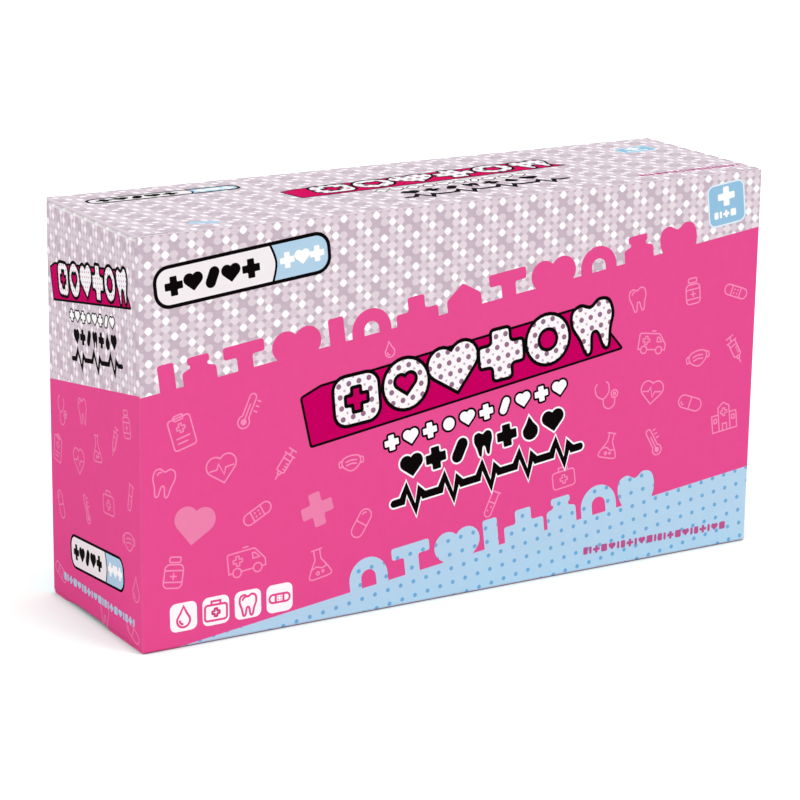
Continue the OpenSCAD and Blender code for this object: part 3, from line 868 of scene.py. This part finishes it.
def silhouette(kind, h):
    low = rising["below"]
    if kind == "heart":
        return placed(heart(27), (0, h - 11.6))
    if kind == "cross":
        return placed(cross(24, 9.6, rising["corner"]), (0, h - 12))
    if kind == "tooth":
        return placed(tooth(27), (0, h - 12.6))
    if kind == "arch":
        outer, inner = arc((0, h - 11), 11, 0, 180, 16), arc((0, h - 10.6), 4.2, 180, 0, 10)
        return [(11, low)] + outer + [(-11, low), (-4.2, low)] + inner + [(4.2, low)]
    halves = dict(bar=[(4.3, low), (4.3, h)], tee=[(4.2, low), (4.2, h - 6.2), (11, h - 6.2), (11, h)],
                  bottle=[(9, low), (9, h - 6.6), (4.6, h - 5.4), (4.6, h - 3.6), (5.8, h - 3.6),
                          (5.8, h)],
                  house=[(10, low), (10, h - 7), (0, h)])
    return rounded(mirrored(halves[kind]), rising["corner"])


def addRising(group, plan, edge, height, ink):
    turn = math.degrees(math.atan(edge["slope"]))
    for k, (kind, x) in enumerate(plan):
        at = (x, edge["slope"] * x + edge["at"])
        # a third of a level apart, because neighbours touch
        addShape(group, placed(silhouette(kind, height), at, turn), ink, levels["rising"] + 0.3 * (k % 3))


risingPink = [("bar", -165), ("bottle", -148), ("tee", -124), ("heart", -96), ("bar", -74), ("arch", -55),
              ("cross", -29), ("house", -2), ("tee", 24), ("heart", 51), ("arch", 78), ("bottle", 103),
              ("tooth", 128)]
risingBlue = [("arch", -55), ("tee", -30), ("heart", -3), ("bar", 17), ("cross", 37), ("bottle", 60),
              ("arch", 83), ("tooth", 107)]
print("stage: print tools ready")


# Front panel
frontIcons = [
    ("clipboard", -158, 107, 16, 0.95), ("thermometer", -123, 113, -24, 0.95),
    ("tooth", -168, 84, -10, 0.85),
    ("heartbeat", -137, 86, 10, 0.85), ("syringe", -103, 84, -36, 0.85), ("plaster", -118, 61, 28, 0.8),
    ("ambulance", -124, 38, 6, 1.0), ("bottle", -163, 38, -8, 0.9), ("flask", -84, 30, 10, 0.9),
    ("pill", -60, 47, -32, 0.85), ("mask", -66, 79, 6, 0.7), ("drop", -45, 133.5, 8, 0.5),
    ("tube", 16, 45, -24, 0.8), ("bag", 60, 53, 8, 0.75), ("stethoscope", 84, 93, 8, 0.85),
    ("flask", 88, 66, -14, 0.8), ("clinic", 162, 71, 7, 0.95), ("thermometer", 116, 64, 30, 0.85),
    ("pill", 139, 82, 70, 0.85), ("heartbeat", 114, 91, -8, 0.75), ("mask", 143, 106, 10, 0.75),
    ("ambulance", 113, 118, -8, 0.85), ("syringe", 167, 108, 30, 0.85), ("tooth", 103, 142, 10, 0.75),
    ("bottle", 138, 142, 6, 0.8), ("plaster", 166, 139, -20, 0.75)]
solidIcons = [("solidHeart", -152, 60, -10, 1.3), ("solidCross", -85, 58, 14, 1.1)]


smallTiles = dict(start=(-158.0, 15.4), step=(17.4, 0.2), side=14.4, radius=3.2, turn=1.0, line=1.15,
                  icons=(("drop", 0.66), ("bag", 0.66), ("tooth", 0.66), ("plaster", 0.56)))


def addSmallTiles(group):
    for k, (name, size) in enumerate(smallTiles["icons"]):
        at = tuple(first + step * k for first, step in zip(smallTiles["start"], smallTiles["step"]))
        tile = roundBox(smallTiles["side"], smallTiles["side"], smallTiles["radius"], 6)
        addShape(group, placed(tile, at, smallTiles["turn"]), "white", levels["blocks"])
        addIcon(group, name, at, 0, size, "pink", smallTiles["line"], levels["blocks"] + 1)


for side in ("front", "back"):   # both carry the same sheet
    printSheet(side, dict(
        badge=[(addBadge, (-125.3, 181.6), 5.8, (1.0, 1.0))],
        blue_tile=[(addTile, (157.3, 186.7), 7.0, (0.98, 0.93))],
        banner=[(addBanner, (0, 116.0), 8.44, (1.0, 1.0))],
        small_row=[(addRow, smallRow, (-48.7, 85.1), (61.3, 101.9), "white", 1.1, "black")],
        bold_rows=[(addRow, boldRow, (-38.4, 71.6), (59.4, 85.2), "black", 0.9, "white"),
                   (addPulse, (-41.5, 54.0), (69.5, 68.2), 12.6, "black", 4.0, 0.9, "white", 5)],
        dash_row=[(addMarks, (73.9, 10.6), (166.0, 10.8), "rose", 4.4)],
        tiles=[(addSmallTiles,)],
        rising_pink=[(addRising, risingPink, fields["rise"], 13.0, "pink")],
        rising_blue=[(addRising, risingBlue, fields["wedge"], 15.5, "polka")],
        icons=[(addIcon, name, (x, z), turn, size) for name, x, z, turn, size in frontIcons]
        + [(addIcon, name, (x, z), turn, size, "iconShade") for name, x, z, turn, size in solidIcons]))
print("stage: front and back printed")


# Ends: the same parts, narrower
endIcons = [
    ("stethoscope", -37, 99, -10), ("tooth", -12, 105, 8), ("bottle", 37, 110, 10),
    ("clipboard", -42, 78, -8), ("heartbeat", -17, 78, 6), ("flask", 4, 90, 8), ("syringe", 24, 99, -18),
    ("pill", -39, 50, 20), ("thermometer", -9, 56, 24), ("bag", 16, 66, 4), ("tube", 40, 75, -12),
    ("mask", 38, 53, 8), ("drop", 45, 31, 0), ("plaster", -41, 14, -24), ("tooth", 10, 8.6, 0),
    ("pill", 41, 8, 66)]


for side, flip in (("left", 1), ("right", -1)):
    lines = [((-25.5, 149.8), (26.0, 156.8)), ((-20.5, 140.3), (28.0, 147.7)),
             ((-22.0, 128.9), (33.0, 137.4))]
    if flip < 0:
        lines = [((-there[0], there[1]), (-here[0], here[1])) for here, there in lines]
    printSheet(side, dict(
        banner=[(addBanner, (-1.5 * flip, 168.3), 9.1 * flip, (0.473, 0.62), 0.84, 1.06, "fineBubbles")],
        rows=[(addRow, smallRow[:8], *lines[0], "white", 0.7, "black", (0.62, 0.66)),
              (addRow, boldRow, *lines[1], "black", 0, None, (0.50, 0.64)),
              (addPulse, *lines[2], 9.0, "black", 2.3, 0, None, 3)],
        badge=[(addBadge, (1.8 * flip, 31.5), 4.0 * flip, (0.65, 0.86))],
        dash_row=[(addMarks, (-37.0, 13.3), (44.5, 13.3), "skyPale", 4.3)],
        icons=[(addIcon, name, (u * flip, z), turn * flip, (0.66, 0.78), "iconShade", 0.7)
               for name, u, z, turn in endIcons]))
print("stage: ends printed")


# Lid: the same parts, flatter
printSheet("lid", dict(
    badge=[(addBadge, (-126.0, 30.7), 1.0, (0.888, 0.5), 1.3)],
    # the banner's magenta here is painted lighter, to make up for how the light falls on the top
    banner=[(addBanner, (10.7, 6.85), 4.5, (0.889, 0.683), 0.8, 1.0, "bubbles", "magentaLid")],
    rows=[(addRow, smallRow, (-31.0, -10.6), (62.0, -7.0), "white", 0.6, "black", (0.8, 0.66)),
          (addRow, boldRow, (-21.0, -20.5), (64.0, -15.0), "black", 0, None, (0.82, 0.60)),
          (addPulse, (-24.0, -30.8), (75.0, -25.3), 8.0, "black", 2.6, 0, None, 4)],
    blue_tile=[(addTile, (152.6, 24.2), 6.8, (0.96, 0.52))],
    dash_row=[(addMarks, (111.4, -37.2), (176.0, -36.0), "berry", 4.0)],
    small_mark=[(addShape, placed(roundBox(15, 5.0, 2.2, 6), (-138.7, -37.0), -14), "skyPale")]))
print("stage: lid printed")


# Floor, lights and world
studio = dict(floorSize=12.0, floorDrop=-0.2, floorColour="F1F0EF", floorShade="F4F3F2",
              floorNear="E4EEEE", floorGrain=25.0, floorRoughness=0.6, floorLift=0.45,
              liftColour="EBFFF8", shadowReach=60.0, contactReach=4.5, contactPower=0.35,
              shadowSamples=12, worldLight=0.705,
              key=dict(toward=(0.466, -0.466, 0.754), strength=0.376, spread=38.0),
              fill=dict(toward=(-0.80, -0.25, 0.50), strength=0.175, spread=70.0))


def makeStudio(setup):
    mesh = bmesh.new()
    bmesh.ops.create_grid(mesh, x_segments=4, y_segments=4, size=setup["floorSize"] / 2)
    floor = addObject("floor", mesh)
    floor.location.z = setup["floorDrop"] * mm
    # matt paper sweep: flat white to the eye, with a soft grey shadow around the object
    material = bpy.data.materials.new("matteStudioFloor")
    add = startNodes(material)
    path = add("LightPath", out="Is Camera Ray")
    glossy, passing = path.node.outputs["Is Glossy Ray"], path.node.outputs["Is Transmission Ray"]
    seen = add("Math ADD", [path, glossy])
    seen = add("Math ADD", [seen, passing], use_clamp=True)
    # the white of the background fades out close to the object, so that its contact shadow stays
    clear, touch = [add("AmbientOcclusion", {"Distance": setup[reach] * mm}, "AO",
                        samples=setup["shadowSamples"]) for reach in ("shadowReach", "contactReach")]
    touch = add("Math POWER", [touch, setup["contactPower"]])
    lift = add("Math MULTIPLY", [seen, setup["floorLift"]])
    for share in (clear, touch):
        lift = add("Math MULTIPLY", [lift, share])
    grain = add("TexNoise", {"Scale": 1 / (setup["floorGrain"] * mm), "Detail": 2.0})
    colour = add("Mix RGBA", {0: grain, 6: setup["floorColour"], 7: setup["floorShade"]})
    # a painted cool tint next to the object, and a cool lift, cancel the pink light that the walls throw
    # into its shadow
    colour = add("Mix RGBA", {0: clear, 6: setup["floorNear"], 7: colour})
    # only the seen floor darkens further at the contact, so that the foot of each wall stays lit
    dim = add("Mix", {0: seen, 2: 1.0, 3: touch})
    colour = add("VectorMath SCALE", {0: colour, 3: dim})
    matte = add("BsdfDiffuse", {"Color": colour, "Roughness": setup["floorRoughness"]})
    glow = add("Emission", {"Color": setup["liftColour"], "Strength": lift})
    both = add("AddShader", [matte, glow])
    add("OutputMaterial", {"Surface": both})
    floor.data.materials.append(material)
    for name in ("key", "fill"):
        plan = setup[name]
        lamp = addObject(name, bpy.data.lights.new(name, "SUN"))
        lamp.data.energy = plan["strength"] * math.pi
        lamp.data.angle = math.radians(plan["spread"])
        lamp.rotation_mode = "QUATERNION"
        lamp.rotation_quaternion = Vector(plan["toward"]).to_track_quat("Z", "Y")
    world = bpy.data.worlds.new("softStudio")
    add = startNodes(world)
    path = add("LightPath", out="Is Camera Ray")
    passing = path.node.outputs["Is Transmission Ray"]
    seen = add("Math ADD", [path, passing], use_clamp=True)
    strength = add("Mix", {0: seen, 2: setup["worldLight"], 3: 1.0})
    sky = add("Background", {"Color": (1, 1, 1, 1), "Strength": strength})
    add("OutputWorld", {"Surface": sky})
    bpy.context.scene.world = world
    bpy.context.scene.view_settings.view_transform = "Standard"


makeStudio(studio)
print("stage: studio lit")
